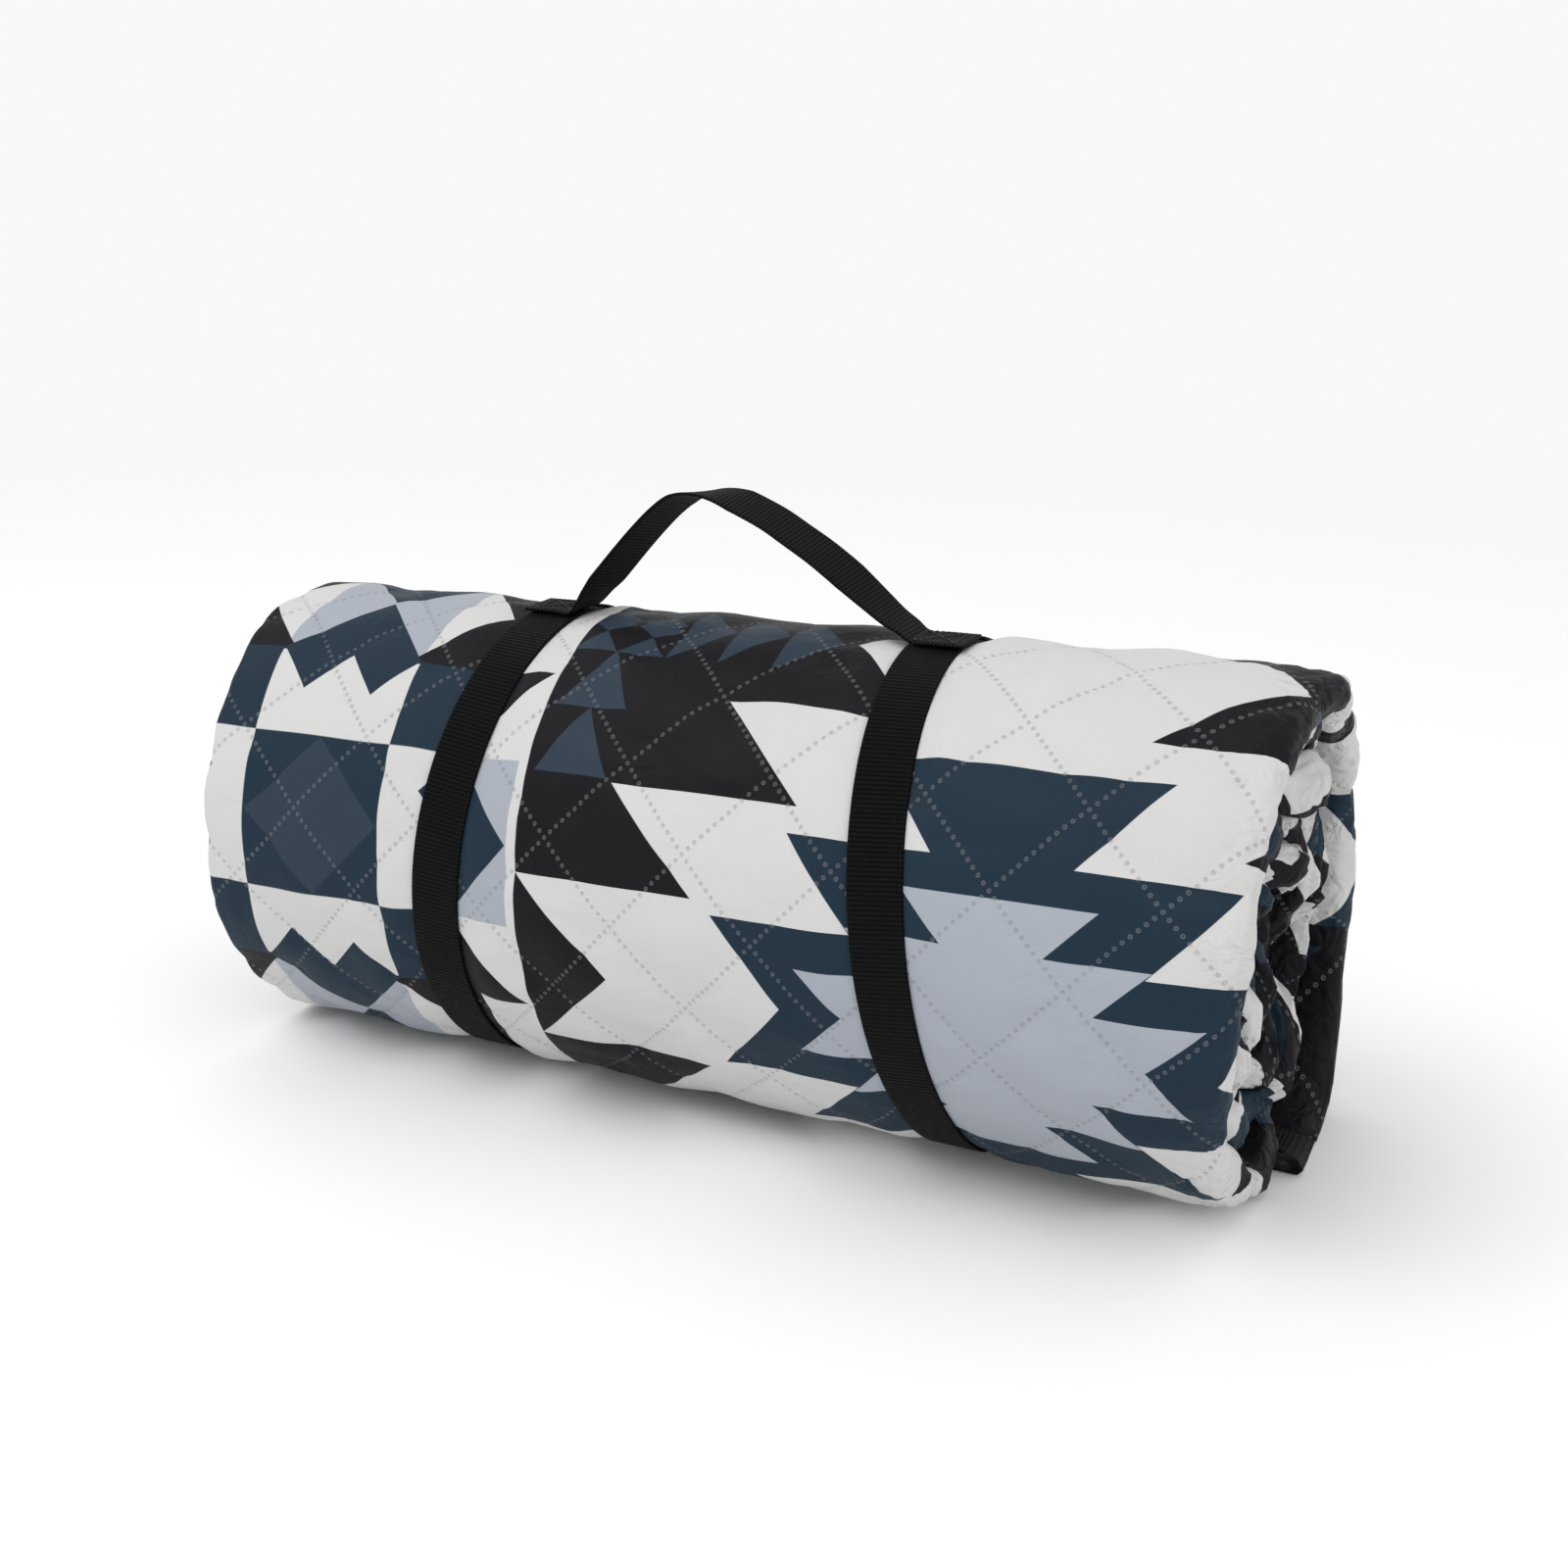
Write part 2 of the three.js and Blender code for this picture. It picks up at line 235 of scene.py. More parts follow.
def signed_volume(points, quads):
    """Six times the volume that the quads enclose, so its sign says which way they face."""
    a, b, c, d = (points[quads[:, k]] for k in range(4))
    return np.einsum("ij,ij->", a, np.cross(b, c)) + np.einsum("ij,ij->", a, np.cross(c, d))


def outward(points, quads, caps=()):
    """The same faces, turned so that they point out of the body."""
    if signed_volume(points.reshape(-1, 3), quads) >= 0:
        return quads, caps
    return quads[:, ::-1], [list(cap)[::-1] for cap in caps]


# ---- The spiral ----
def wound(turn):
    """How many bands deep the spiral is: level round each turn, then one band deeper over the last
    part of it, before it passes under its own start."""
    whole = np.floor(turn)
    return whole + smooth((turn - whole - (1 - RAMP)) / RAMP)


def strap_middle(hand, height):
    """Where a strap's middle lies along the roll: a parabola through its places at the top, the
    side and the bottom. height is -1 at the bottom and 1 at the top."""
    top, side, bottom = STRAPS[hand]
    lean = 0.0025 if hand == "left" else 0.0014
    return side + ((top - bottom) / 2 - lean) * height + ((top + bottom) / 2 - side) * height**2


def pinch(x, angle, depth):
    """How far the straps pull the roll in: a bell across each strap's path."""
    total = 0
    for hand in STRAPS:
        away = (x - strap_middle(hand, np.sin(angle))) / 0.019
        total = total + depth * np.exp(-(away**4))
    return total


def body_point(x, angle, radius, sizes):
    """A point at a place along the roll, an angle about its axis and a radius, on the oval that is
    core_stretch taller than its radius. The oval grows towards the right, draws in at both ends,
    stands level on the ground and is pressed smoothly up to it."""
    along = np.clip(x / HALF_LENGTH, -1, 1)
    ends = np.clip((np.abs(x) - HALF_LENGTH + 0.025) / 0.025, 0, 1) ** 2
    scale = 1 + sizes.taper * along - sizes.end_draw * ends * (0.6 + 0.4 * along)
    y = radius * np.cos(angle) * scale
    z = (CORE_STRETCH + radius * HEIGHT_PER_WIDTH) * np.sin(angle) * scale
    z = z + sizes.taper * along * HALF_HEIGHT
    share = radius / HALF_WIDTH
    deep = np.clip((share - 0.1) / 0.4, 0, 1) * (0.16 + 0.84 * smooth((0.92 - share) / 0.2))
    right_end = smooth((x - HALF_LENGTH + 0.075) / 0.07)
    left_end = smooth((-x - HALF_LENGTH + 0.05) / 0.05)
    loose = sizes.crumple * deep * (right_end + 0.3 * left_end)
    y, z = y + loose * ripple(y, z, 0.058, 11), z + loose * ripple(z, y, 0.060, 12)
    z = z + AXIS_Z
    z = z - SINK * smooth((SINK_FROM - z) / SINK_FROM)
    share = np.clip((SOFT - z) / (SOFT - LOW), 0, 1)
    bend = 1 - (SOFT - GROUND) / (SOFT - LOW)
    z = np.where(z < SOFT, SOFT - (SOFT - LOW) * (share - bend * share**2), z)
    return np.stack(np.broadcast_arrays(x, y, z), -1)


def cloth_length():
    """A table of turns against the length of cloth wound so far, from the front of the roll."""
    turn = np.linspace(0, TURNS, 4000)
    angle = START_ANGLE + 2 * np.pi * turn
    radius = HALF_WIDTH - BAND * wound(turn)
    y = radius * np.cos(angle)
    z = (CORE_STRETCH + radius * HEIGHT_PER_WIDTH) * np.sin(angle)
    length = np.concatenate([[0], np.cumsum(np.hypot(np.diff(y), np.diff(z)))])
    return turn, length - np.interp(FRONT_TURN, turn, length)


TURN_TABLE, LENGTH_TABLE = cloth_length()
HEM_TURN = np.interp(HEM, LENGTH_TABLE - LENGTH_TABLE[0], TURN_TABLE)
CORE_TURN = np.interp(LENGTH_TABLE[-1] - HEM, LENGTH_TABLE, TURN_TABLE)


def lift(x, turn, amount):
    """How far the loose end of the band stands off the roll: a bell near its edge, large at the
    right end and small where the straps hold it."""
    outside = smooth((x - 0.12) / 0.10) + 0.2 * smooth((-0.12 - x) / 0.05) + 0.04
    swell = np.exp(-(((turn - 0.032) / 0.028) ** 2)) * smooth((0.13 - turn) / 0.06)
    return amount * outside * swell * (1 + 0.2 * ripple(x, 0 * x, 0.11, 21))


def pillow(u, v):
    """The height of the quilted cloth: zero along the weld lines, one in each diamond's middle."""
    across = u / CELL + CENTRE_CELL
    down = (v / CELL + QUILT_SHIFT + QUILT_SKEW * across) / QUILT_RISE
    first = np.abs(np.sin(np.pi * (across + down) / 2))
    second = np.abs(np.sin(np.pi * (across - down) / 2))
    return (first * second) ** 0.55


def fold_swell(v, turn):
    """The swell of a folded edge along the cloth: round puffs between uneven creases."""
    place = v / 0.047 + 0.22 * np.sin(v / 0.031 + 2 * turn) + 0.45 * np.sin(v / 0.063 + 5 * turn)
    return np.abs(np.sin(place * np.pi)) ** 0.7


def folded_path(offset, dense):
    """The blanket's run across the band as x, depth and the normal there: right along the deepest
    ply, round the right fold, left along the outer ply, round the left fold, right and back."""

    def arc(x, depth, radius, start, end, count):
        """A fold: points round a half circle, leaving out both ends."""
        angle = np.linspace(start, end, count + 2)[1:-1]
        return np.stack(
            [x + radius * np.cos(angle), depth + radius * np.sin(angle), np.cos(angle), np.sin(angle)], 1
        )

    def run(start, end, depth, side, count, power=1.0):
        """A straight ply, its points closer together at both ends where the power is under 1."""
        share = np.linspace(-1, 1, count)
        share = np.sign(share) * np.abs(share) ** power
        x = start + (end - start) * (share + 1) / 2
        return np.stack([x, np.full(count, depth), np.zeros(count), np.full(count, side)], 1)

    half = math.pi / 2
    edge = -HALF_LENGTH + BINDING + 0.0003
    many, few, inside = (112, 10, 20) if dense else (22, 5, 20)
    middle = BAND / 2
    return np.concatenate([
        run(edge, FOLD_RIGHT, 3.5 * PLY + offset, 1, few + 14, 0.55),
        arc(FOLD_RIGHT, middle, 1.5 * PLY + offset, half, -half, many // 6),
        run(FOLD_RIGHT, FOLD_LEFT, 0.5 * PLY - offset, -1, many, 0.8),
        arc(FOLD_LEFT, PLY, PLY / 2 + offset, -half, -3 * half, few),
        run(FOLD_LEFT, FOLD_RIGHT, 1.5 * PLY + offset, 1, inside, 0.7),
        arc(FOLD_RIGHT, middle, PLY / 2 - offset, -half, half, 4),
        run(FOLD_RIGHT, edge, 2.5 * PLY - offset, -1, inside, 0.7),
    ])


def across_cloth(path):
    """How far each point of a path lies across the cloth, with the middle of the outer ply at 0."""
    steps = np.hypot(np.diff(path[:, 0]), np.diff(path[:, 1]))
    length = np.concatenate([[0], np.cumsum(steps)])
    outer = np.flatnonzero((path[:, 3] == -1) & (path[:, 1] < PLY))
    crossing = np.interp(0, path[outer, 0][::-1], length[outer][::-1])
    return crossing - length


def end_shift(x, v, turn, angle, inner, sizes):
    """How far the ends lie out of line along the roll. The right end reaches further at the back
    and at the loose corner, the inner turns lie inside both ends, and both sway along the cloth."""
    right = smooth((x - FOLD_RIGHT + 0.05) / 0.055)
    left = smooth((FOLD_LEFT + 0.03 - x) / 0.03)
    back = sizes.skew * (0.5 + 0.5 * np.cos(angle - 0.5)) * (1 - 0.4 * inner)
    corner = 0.6 * sizes.skew * np.clip(1 - turn / 0.07, 0, 1)
    recess = sizes.dish * (0.55 * inner + 0.45 * wound(turn) / TURNS)
    wave = sizes.fold_wave * (0.3 + 0.7 * inner)
    sway = wave * ripple(v, 0 * v, 0.10, 31)
    other_sway = 0.4 * wave * ripple(v, 0 * v, 0.11, 32)
    return (
        right * (back + corner + sway - recess)
        - left * (0.004 * (1 - inner) + other_sway - 0.6 * recess)
    )


def cloth_rise(x, v, turn, depth, nd, cloth, inner, sizes):
    """How far the cloth stands off its ply: pillows between the weld lines and soft wrinkles on the
    face, and round puffs with sharp pleats at the folds."""
    face = (depth < PLY) * (nd < 0) * (1 - smooth((turn - 0.84) / 0.1))
    nose = np.maximum(smooth((x - FOLD_RIGHT) / 0.003), 0.5 * smooth((FOLD_LEFT - x) / 0.003))
    near = np.maximum(smooth((x - FOLD_RIGHT + 0.028) / 0.03), 0.5 * nose)
    u = cloth[None, :] + 0 * v
    puff = sizes.quilt * (pillow(u, v) - 0.55) + sizes.wrinkle * ripple(u, v, 0.05, 41)
    puff = puff + 0.5 * sizes.wrinkle * ripple(u * 0.6, v, 0.022, 42)
    crease = sizes.fold_puff * (fold_swell(v, 0.7) - 0.7) * (0.4 + 0.6 * inner)
    pleat = np.abs(ripple(v * 1.6, (x + depth) * 2.5, 0.034, 44)) ** 0.5
    crease = crease + 0.0026 * (pleat - 0.6) * (0.5 + 0.5 * inner)
    return puff * np.maximum(face, 0.6 * nose) + near * (nd < 0.5) * crease


def wind(profile, turns, sizes, cloth=None):
    """Carries profile points of x and depth along the spiral, one row for each turn value: each
    goes to its turn's angle, at the radius of its turn less its depth, plus the loose end's lift.
    cloth gives how far across the cloth each point is, and adds the quilting and the puffs."""
    turn = turns[:, None]
    x, depth, nx, nd = (profile[None, :, k] for k in range(4))
    x, depth = np.broadcast_arrays(x + 0 * turn, depth + 0 * turn)
    v = np.interp(turns, TURN_TABLE, LENGTH_TABLE)[:, None]
    v = v * (1 + sizes.taper * x / HALF_LENGTH)
    angle = START_ANGLE + 2 * np.pi * turn
    inner = smooth((turn - 0.80) / 0.2)
    shift = end_shift(x, v, turn, angle, inner, sizes)
    rise = 0
    if cloth is not None:
        rise = cloth_rise(x, v, turn, depth, nd, cloth, inner, sizes)
        rise = rise * (1 - pinch(x + shift, angle, 0.9))
    x = x + nx * rise + shift
    depth = depth + nd * rise
    free = 1 - pinch(x, angle, 1.0)
    radius = HALF_WIDTH - BAND * wound(turn) - depth + free * lift(x, turn, sizes.lift)
    droop = sizes.droop * smooth((x - 0.13) / 0.11) * np.clip(1 - turn / 0.10, 0, 1) ** 1.5
    angle = angle - droop
    v = v - droop * HALF_WIDTH
    outer = np.clip(radius / HALF_WIDTH, 0, 1) ** 3
    radius = radius - pinch(x, angle, sizes.pinch) * outer
    return body_point(x, angle, radius, sizes), v + 0 * x


def swept(name, profile, turns, sizes, materials, cloth=None, sides=None):
    """A closed body: the profile carried along the spiral, with both ends closed. sides gives each
    profile point's material."""
    points, v = wind(profile, turns, sizes, cloth)
    rows, columns = points.shape[:2]
    quads, caps = outward(points, grid_faces(rows, columns, close_columns=True), end_caps(rows, columns))
    u = cloth if cloth is not None else profile[:, 0] + profile[:, 1]
    uv = np.stack([np.broadcast_to(u[None, :], v.shape), v], -1)
    indices = None if sides is None else np.tile(sides, rows - 1)
    return mesh_piece(name, points, quads, caps, uv, materials, indices)


def turn_steps(start, end, step, outer_step=None):
    """Turn values from start to end with about that length of cloth between them, and with a step
    of its own on the outermost turn."""
    low, high = np.interp([start, end], TURN_TABLE, LENGTH_TABLE)
    count = max(3, int(round((high - low) / step)) + 1)
    lengths = np.linspace(low, high, count)
    if outer_step:
        edge = np.interp(1.02, TURN_TABLE, LENGTH_TABLE)
        outer = np.linspace(low, edge, int((edge - low) / outer_step))
        inner = np.linspace(edge, high, int((high - edge) / step))
        lengths = np.concatenate([outer, inner[1:]])
    return np.interp(lengths, LENGTH_TABLE, TURN_TABLE)


# ---- Ribbons of webbing ----
def ribbon_section(half_width, half_thickness, count=14):
    """A flat band's outline: straight faces and round edges, as offsets across and out."""
    half = math.pi / 2
    turn = np.linspace(-half, half, 6)
    side = np.stack(
        [half_width - half_thickness + half_thickness * np.cos(turn), half_thickness * np.sin(turn)], 1
    )
    flat = np.linspace(half_width - half_thickness, half_thickness - half_width, count)[1:-1]
    top = np.stack([flat, np.full(len(flat), half_thickness)], 1)
    return np.concatenate([side, top, -side, -top])


def ribbon(name, line, out, half_width, half_thickness, material, closed=False):
    """A band carried along a line, with its flat side facing out. The width lies across both.
    The UV map holds metres across and along the band."""
    ahead = np.roll(line, -1, 0) if closed else np.concatenate([line[1:], line[-1:]])
    behind = np.roll(line, 1, 0) if closed else np.concatenate([line[:1], line[:-1]])
    along = ahead - behind
    along = along / np.linalg.norm(along, axis=1, keepdims=True)
    wide = np.cross(along, out)
    wide = wide / np.linalg.norm(wide, axis=1, keepdims=True)
    face = np.cross(wide, along)
    section = ribbon_section(half_width, half_thickness)
    points = (
        line[:, None, :]
        + wide[:, None, :] * section[None, :, 0, None]
        + face[:, None, :] * section[None, :, 1, None]
    )
    rows, columns = points.shape[:2]
    quads = grid_faces(rows, columns, close_rows=closed, close_columns=True)
    quads, caps = outward(points, quads, [] if closed else end_caps(rows, columns))
    steps = np.linalg.norm(np.diff(line, axis=0), axis=1)
    length = np.concatenate([[0], np.cumsum(steps)])
    uv = np.stack(np.broadcast_arrays(section[None, :, 0], length[:, None]), -1)
    return mesh_piece(name, points, quads, caps, uv, [material])


def strap_line(hand, angle, stand, sizes):
    """A strap's middle line round the roll, standing that far off its pinched surface, and the
    direction out of the roll there. The strap ignores the step at the blanket's loose end."""
    x = strap_middle(hand, np.sin(angle))
    radius = HALF_WIDTH - sizes.pinch + stand
    line = body_point(x, angle, radius, sizes)
    nudge = 1e-3
    after = body_point(strap_middle(hand, np.sin(angle + nudge)), angle + nudge, radius, sizes)
    run = after - line
    run[:, 0] = 0
    out = np.cross(run, np.array([1.0, 0, 0]))
    out = out / np.linalg.norm(out, axis=1, keepdims=True)
    away = line - np.array([0, 0, AXIS_Z])
    out = out * np.sign(np.einsum("ij,ij->i", out, away * [0, 1, 1]))[:, None]
    return line, out


def curve_through(points, count):
    """A smooth line through points: a Catmull-Rom curve, spaced evenly along its length."""
    points = np.asarray(points, float)
    ends = np.concatenate([[2 * points[0] - points[1]], points, [2 * points[-1] - points[-2]]])
    share = np.linspace(0, 1, 24, endpoint=False)[:, None]
    spans = []
    for before, first, second, after in zip(ends, ends[1:], ends[2:], ends[3:]):
        spans.append(0.5 * (
            2 * first + (second - before) * share
            + (2 * before - 5 * first + 4 * second - after) * share**2
            + (3 * first - before - 3 * second + after) * share**3
        ))
    fine = np.concatenate([*spans, points[-1:]])
    length = np.concatenate([[0], np.cumsum(np.linalg.norm(np.diff(fine, axis=0), axis=1))])
    even = np.linspace(0, length[-1], count)
    return np.stack([np.interp(even, length, fine[:, k]) for k in range(fine.shape[1])], 1)


def stitches(name, starts, ends, outs, radius, material):
    """Many stitches as one mesh: each a small bowed bead from its start to its end."""
    starts, ends, outs = (np.asarray(a, float) for a in (starts, ends, outs))
    rings, sides = 5, 6
    along = ends - starts
    length = np.linalg.norm(along, axis=1, keepdims=True)
    along = along / length
    wide = np.cross(along, outs)
    share = np.linspace(0, 1, rings)
    girth = radius * np.sqrt(np.clip(1 - (2 * share - 1) ** 4, 0.05, 1))
    turn = np.linspace(0, 2 * np.pi, sides, endpoint=False)
    middle = starts[:, None] + along[:, None] * (length[:, None] * share[None, :, None])
    middle = middle + outs[:, None] * (0.6 * radius * np.sin(np.pi * share))[None, :, None]
    ring = wide[:, None] * np.cos(turn)[None, :, None] + outs[:, None] * np.sin(turn)[None, :, None]
    points = middle[:, :, None] + ring[:, None] * girth[None, :, None, None]
    one, lids = outward(points[0], grid_faces(rings, sides, close_columns=True), end_caps(rings, sides))
    first = rings * sides * np.arange(len(starts))
    quads = (one[None] + first[:, None, None]).reshape(-1, 4)
    caps = (np.array(lids)[None] + first[:, None, None]).reshape(-1, sides).tolist()
    return mesh_piece(name, points, quads, caps, None, [material])


# ---- Shader maths ----
class Value:
    """A socket or a number in a shader, with arithmetic that adds Math nodes."""

    def __init__(self, shader, socket):
        self.shader = shader
        self.socket = socket

    def _math(self, operation, *others):
        node = self.shader.node("ShaderNodeMath", {"operation": operation}, [self, *others])
        return Value(self.shader, node.outputs[0])

    def _flipped(self, operation, other):
        node = self.shader.node("ShaderNodeMath", {"operation": operation}, [other, self])
        return Value(self.shader, node.outputs[0])

    def __add__(self, other):
        return self._math("ADD", other)

    __radd__ = __add__

    def __sub__(self, other):
        return self._math("SUBTRACT", other)

    def __rsub__(self, other):
        return self._flipped("SUBTRACT", other)

    def __mul__(self, other):
        return self._math("MULTIPLY", other)

    __rmul__ = __mul__

    def __truediv__(self, other):
        return self._math("DIVIDE", other)

    def __rtruediv__(self, other):
        return self._flipped("DIVIDE", other)

    def __pow__(self, other):
        return self._math("POWER", other)

    def least(self, other):
        """The smaller of the two."""
        return self._math("MINIMUM", other)

    def most(self, other):
        """The larger of the two."""
        return self._math("MAXIMUM", other)

    def size(self):
        """The value without its sign."""
        return self._math("ABSOLUTE")

    def floor(self):
        """The whole number under it."""
        return self._math("FLOOR")

    def part(self):
        """What is over that whole number."""
        return self._math("FRACT")

    def bounce(self, length):
        """Up from 0 to length and back down, over and over."""
        return self._math("PINGPONG", length)

    def sine(self):
        """Its sine, in radians."""
        return self._math("SINE")

    def inside(self, sharpness=70):
        """One where the value is over 0, and zero where it is under, with a thin soft edge."""
        settings = {"operation": "MULTIPLY_ADD", "use_clamp": True}
        node = self.shader.node("ShaderNodeMath", settings, [self, sharpness, 0.5])
        return Value(self.shader, node.outputs[0])


class Shader:
    """A material's node tree. node() makes any node from its type, settings and inputs."""

    def __init__(self, name):
        self.material = bpy.data.materials.new(name)
        self.material.use_nodes = True
        self.tree = self.material.node_tree
        self.surface = self.tree.nodes["Principled BSDF"]

    def node(self, kind, settings=None, inputs=()):
        """A node of any kind: its settings are set first, then its inputs, by name or by number."""
        made = self.tree.nodes.new(kind)
        for key, value in (settings or {}).items():
            setattr(made, key, value)
        items = inputs.items() if isinstance(inputs, dict) else enumerate(inputs)
        for key, value in items:
            self.link(value, made.inputs[key])
        return made

    def link(self, value, socket):
        """Links a value or a socket, sets a number or a colour, and leaves None as it is."""
        value = value.socket if isinstance(value, Value) else value
        if isinstance(value, bpy.types.NodeSocket):
            self.tree.links.new(value, socket)
        elif value is not None:
            socket.default_value = value

    def value(self, socket):
        """A node's output, ready for arithmetic."""
        return Value(self, socket)

    def cloth(self):
        """The piece's own cloth coordinates, in metres across and along."""
        uv = self.node("ShaderNodeUVMap", {"uv_map": "cloth"})
        split = self.node("ShaderNodeSeparateXYZ", {}, [uv.outputs[0]])
        return uv.outputs[0], self.value(split.outputs[0]), self.value(split.outputs[1])

    def place(self):
        """Where the surface is on the object, in metres."""
        return self.node("ShaderNodeTexCoord").outputs["Object"]

    def noise(self, vector, scale, detail=2.0, rough=0.5, distortion=0.0):
        """Cloudy noise about a half, with that many clouds to a metre."""
        inputs = {"Vector": vector, "Scale": scale, "Detail": detail}
        inputs.update({"Roughness": rough, "Distortion": distortion})
        return self.value(self.node("ShaderNodeTexNoise", {}, inputs).outputs[0])

    def mix(self, factor, first, second):
        """The first colour where the factor is 0, and the second where it is 1."""
        made = self.node("ShaderNodeMix", {"data_type": "RGBA"}, {0: factor, 6: first, 7: second})
        return made.outputs[2]

    def scale(self, colour, factor):
        """A colour times a value."""
        inputs = {"Vector": colour, "Scale": factor}
        return self.node("ShaderNodeVectorMath", {"operation": "SCALE"}, inputs).outputs[0]

    def bump(self, height, distance, strength=1.0):
        """A normal that a height tilts. Distance is in metres."""
        inputs = {"Height": height, "Distance": distance, "Strength": strength}
        return self.node("ShaderNodeBump", {}, inputs).outputs[0]

    def finish(self, colour, roughness, normal, **uniform):
        """The finished material. uniform values are the same all over the surface."""
        self.link(colour, self.surface.inputs["Base Color"])
        self.link(roughness, self.surface.inputs["Roughness"])
        self.link(normal, self.surface.inputs["Normal"])
        for key, value in uniform.items():
            self.surface.inputs[key.replace("_", " ")].default_value = value
        return self.material


def rgba(colour, factor=1.0):
    """A colour times a number, with full cover."""
    return (*(part * factor for part in colour[:3]), 1.0)


def stairs(row, height, reach, drop, slant):
    """A stepped outline over the rows: its reach falls by drop at each step of that height, and each
    tooth slants back by slant from its tip to its root."""
    climb = row / height
    tooth = 0 - (0 - climb).floor()
    return reach - drop * tooth - slant * (tooth - climb)


def dark_column(row, out):
    """A dark column that widens in steps from its straight base. out is the distance from the base."""
    height, growth = 1.32, 1.26
    tooth = (row / height).floor()
    reach = height + growth * tooth - (row - height * tooth)
    return (reach - out).inside() * out.inside()


def column_marks(row, out):
    """The marks on the dark column: two triangles on top of each other, a row of small triangles
    and diamonds, and beside them a row of sails with one upright edge."""
    climb = (row - 2.68) / 0.95
    peaks = (0.53 * (1 - climb.part()) - (out - 0.64).size()).inside()
    peaks = peaks * climb.inside() * (2 - climb).inside()
    pitch, half, foot, head, gem_row, sail_base = 0.68, 0.33, 4.56, 4.96, 5.2, 1.34
    beside = (((out + 0.05) / pitch).part() - 0.5).size() * pitch
    small = (half * (1 - (row - foot) / (head - foot)) - beside).inside()
    small = small * (row - foot).inside() * (head - row).inside()
    gems = (1 - beside / half - (row - gem_row).size() / 0.24).inside(18)
    small = (small + gems).least(1) * (1.33 - out).inside()
    sail_place = ((out - sail_base) / 0.76).part() * 0.76
    sails = ((row - 4.55).least(0.71) - sail_place).inside()
    sails = sails * (out - sail_base).inside() * (3.61 - out).inside()
    return (peaks + small + sails).least(1)


def star_masks(u, v):
    """The star block about its middle, as masks: its dark squares and crowns, the diamond in it,
    its pale tips, and the black flanks between the tips."""
    far, near = u.most(v), u.least(v)
    square = (SQUARE - far).inside()
    diamond = (1.1 - u - v).inside()
    notch = CROWN - 0.6 * (1 - (near - SQUARE / 2).size() / (SQUARE / 2))
    arm = (SQUARE - near).inside() * (far - SQUARE).inside()
    crown = arm * (far - notch).inside() * (CROWN - far).inside()
    tip = arm * (far - CROWN).inside() * (TIP - far).inside()
    peak = tip * (SQUARE * (1 - (far - CROWN) / 1.14) - near).inside()
    corner = (near - SQUARE).inside() * (CROWN - near).inside() * (CROWN - far).inside()
    slope = 1.2 - (far - CROWN) - (CROWN - near)
    flank = (near - 1.3).inside() * (far - 2.34).inside() * slope.inside() * (2.42 - near).inside()
    wedge = (u - 0.96 - (v - CROWN)).inside() * (v - 2.34).inside() * (2.7 - u).inside()
    return (square + crown + peak + corner).least(1), diamond, tip, flank.most(wedge)


def weld_dots(u, down):
    """The weld dots along the quilting lines, thirteen to a side of each diamond: a mask of their
    pits, one of their rims, and how near the lines are."""
    per_side, line_width, dot_pitch = 13, 51.1, 3.93
    first, second = (u + down) / 2, (u - down) / 2
    distances, offsets = [], []
    for line, way in ((first, second), (second, first)):
        off = ((line + 0.5).part() - 0.5) * line_width
        step = ((way * per_side + 0.5).part() - 0.5) * dot_pitch
        distances.append((off * off + step * step) ** 0.5)
        offsets.append(off.size())
    dots = distances[0].least(distances[1])
    pit = (0.45 - dots).inside(2)
    rim = (0.92 - dots).inside(2) - pit
    return pit, rim, (1 - offsets[0].least(offsets[1]) / 11).most(0)


def print_colour(s, u, v, along, colours):
    """The whole print as one colour: medallions, dark columns and star blocks in mirrored rows, a
    second dark column past the right fold, and a dark border with triangles along the hem."""
    white, pale, slate, navy, ink = (rgba(colour) for colour in colours)
    side = (u - MEDALLION).bounce(STAR)
    row = (v - 0.87).bounce(ROW)
    medallion = (stairs(row, 1.15, 4.57, 0.92, 0.93) - side).inside() * (3.45 - row).inside()
    heart = (stairs(row, 0.62, 3.135, 0.635, 0.6) - side).inside() * (1.86 - row).inside()
    out = MEDALLION + COLUMN - side
    column = dark_column(row, out)
    colour = s.mix(medallion, white, navy)
    colour = s.mix(heart, colour, pale)
    colour = s.mix(column, colour, ink)
    colour = s.mix(column_marks(row, out) * column, colour, slate)

    star_u = STAR - side
    star_u = star_u + 0.19 * (star_u - SQUARE).most(0)
    dark, diamond, tip, flank = star_masks(star_u, (v + 0.78).bounce(STAR_HALF))
    block = (STAR_HALF - star_u).inside()
    colour = s.mix(block, colour, white)
    colour = s.mix(block * tip, colour, pale)
    colour = s.mix(flank * (3.7 - star_u).inside(), colour, ink)
    colour = s.mix(dark * block, colour, navy)
    colour = s.mix(diamond * block, colour, slate)

    pitch = 1.7
    climb = (v + 80.4) / pitch
    folded = (0.35 + 0.9 * (1 - climb.part()) - (u - 10.05).size()).inside()
    folded = folded * (along / CELL - 3.5).inside()
    inlay = ((climb / 2).part() - 0.5).inside() * (0.5 - (u - 9.9).size()).inside()
    colour = s.mix(folded, colour, s.mix(inlay, ink, navy))
    border = (LENGTH_TABLE[0] / CELL + 0.9) - along / CELL
    flag = ((u + 40) / pitch).part().bounce(0.5) * pitch
    flags = (flag - 0.18 - (border - 0.35)).inside() * (border - 0.35).inside()
    return s.mix(border.inside(), colour, s.mix(flags, ink, navy))


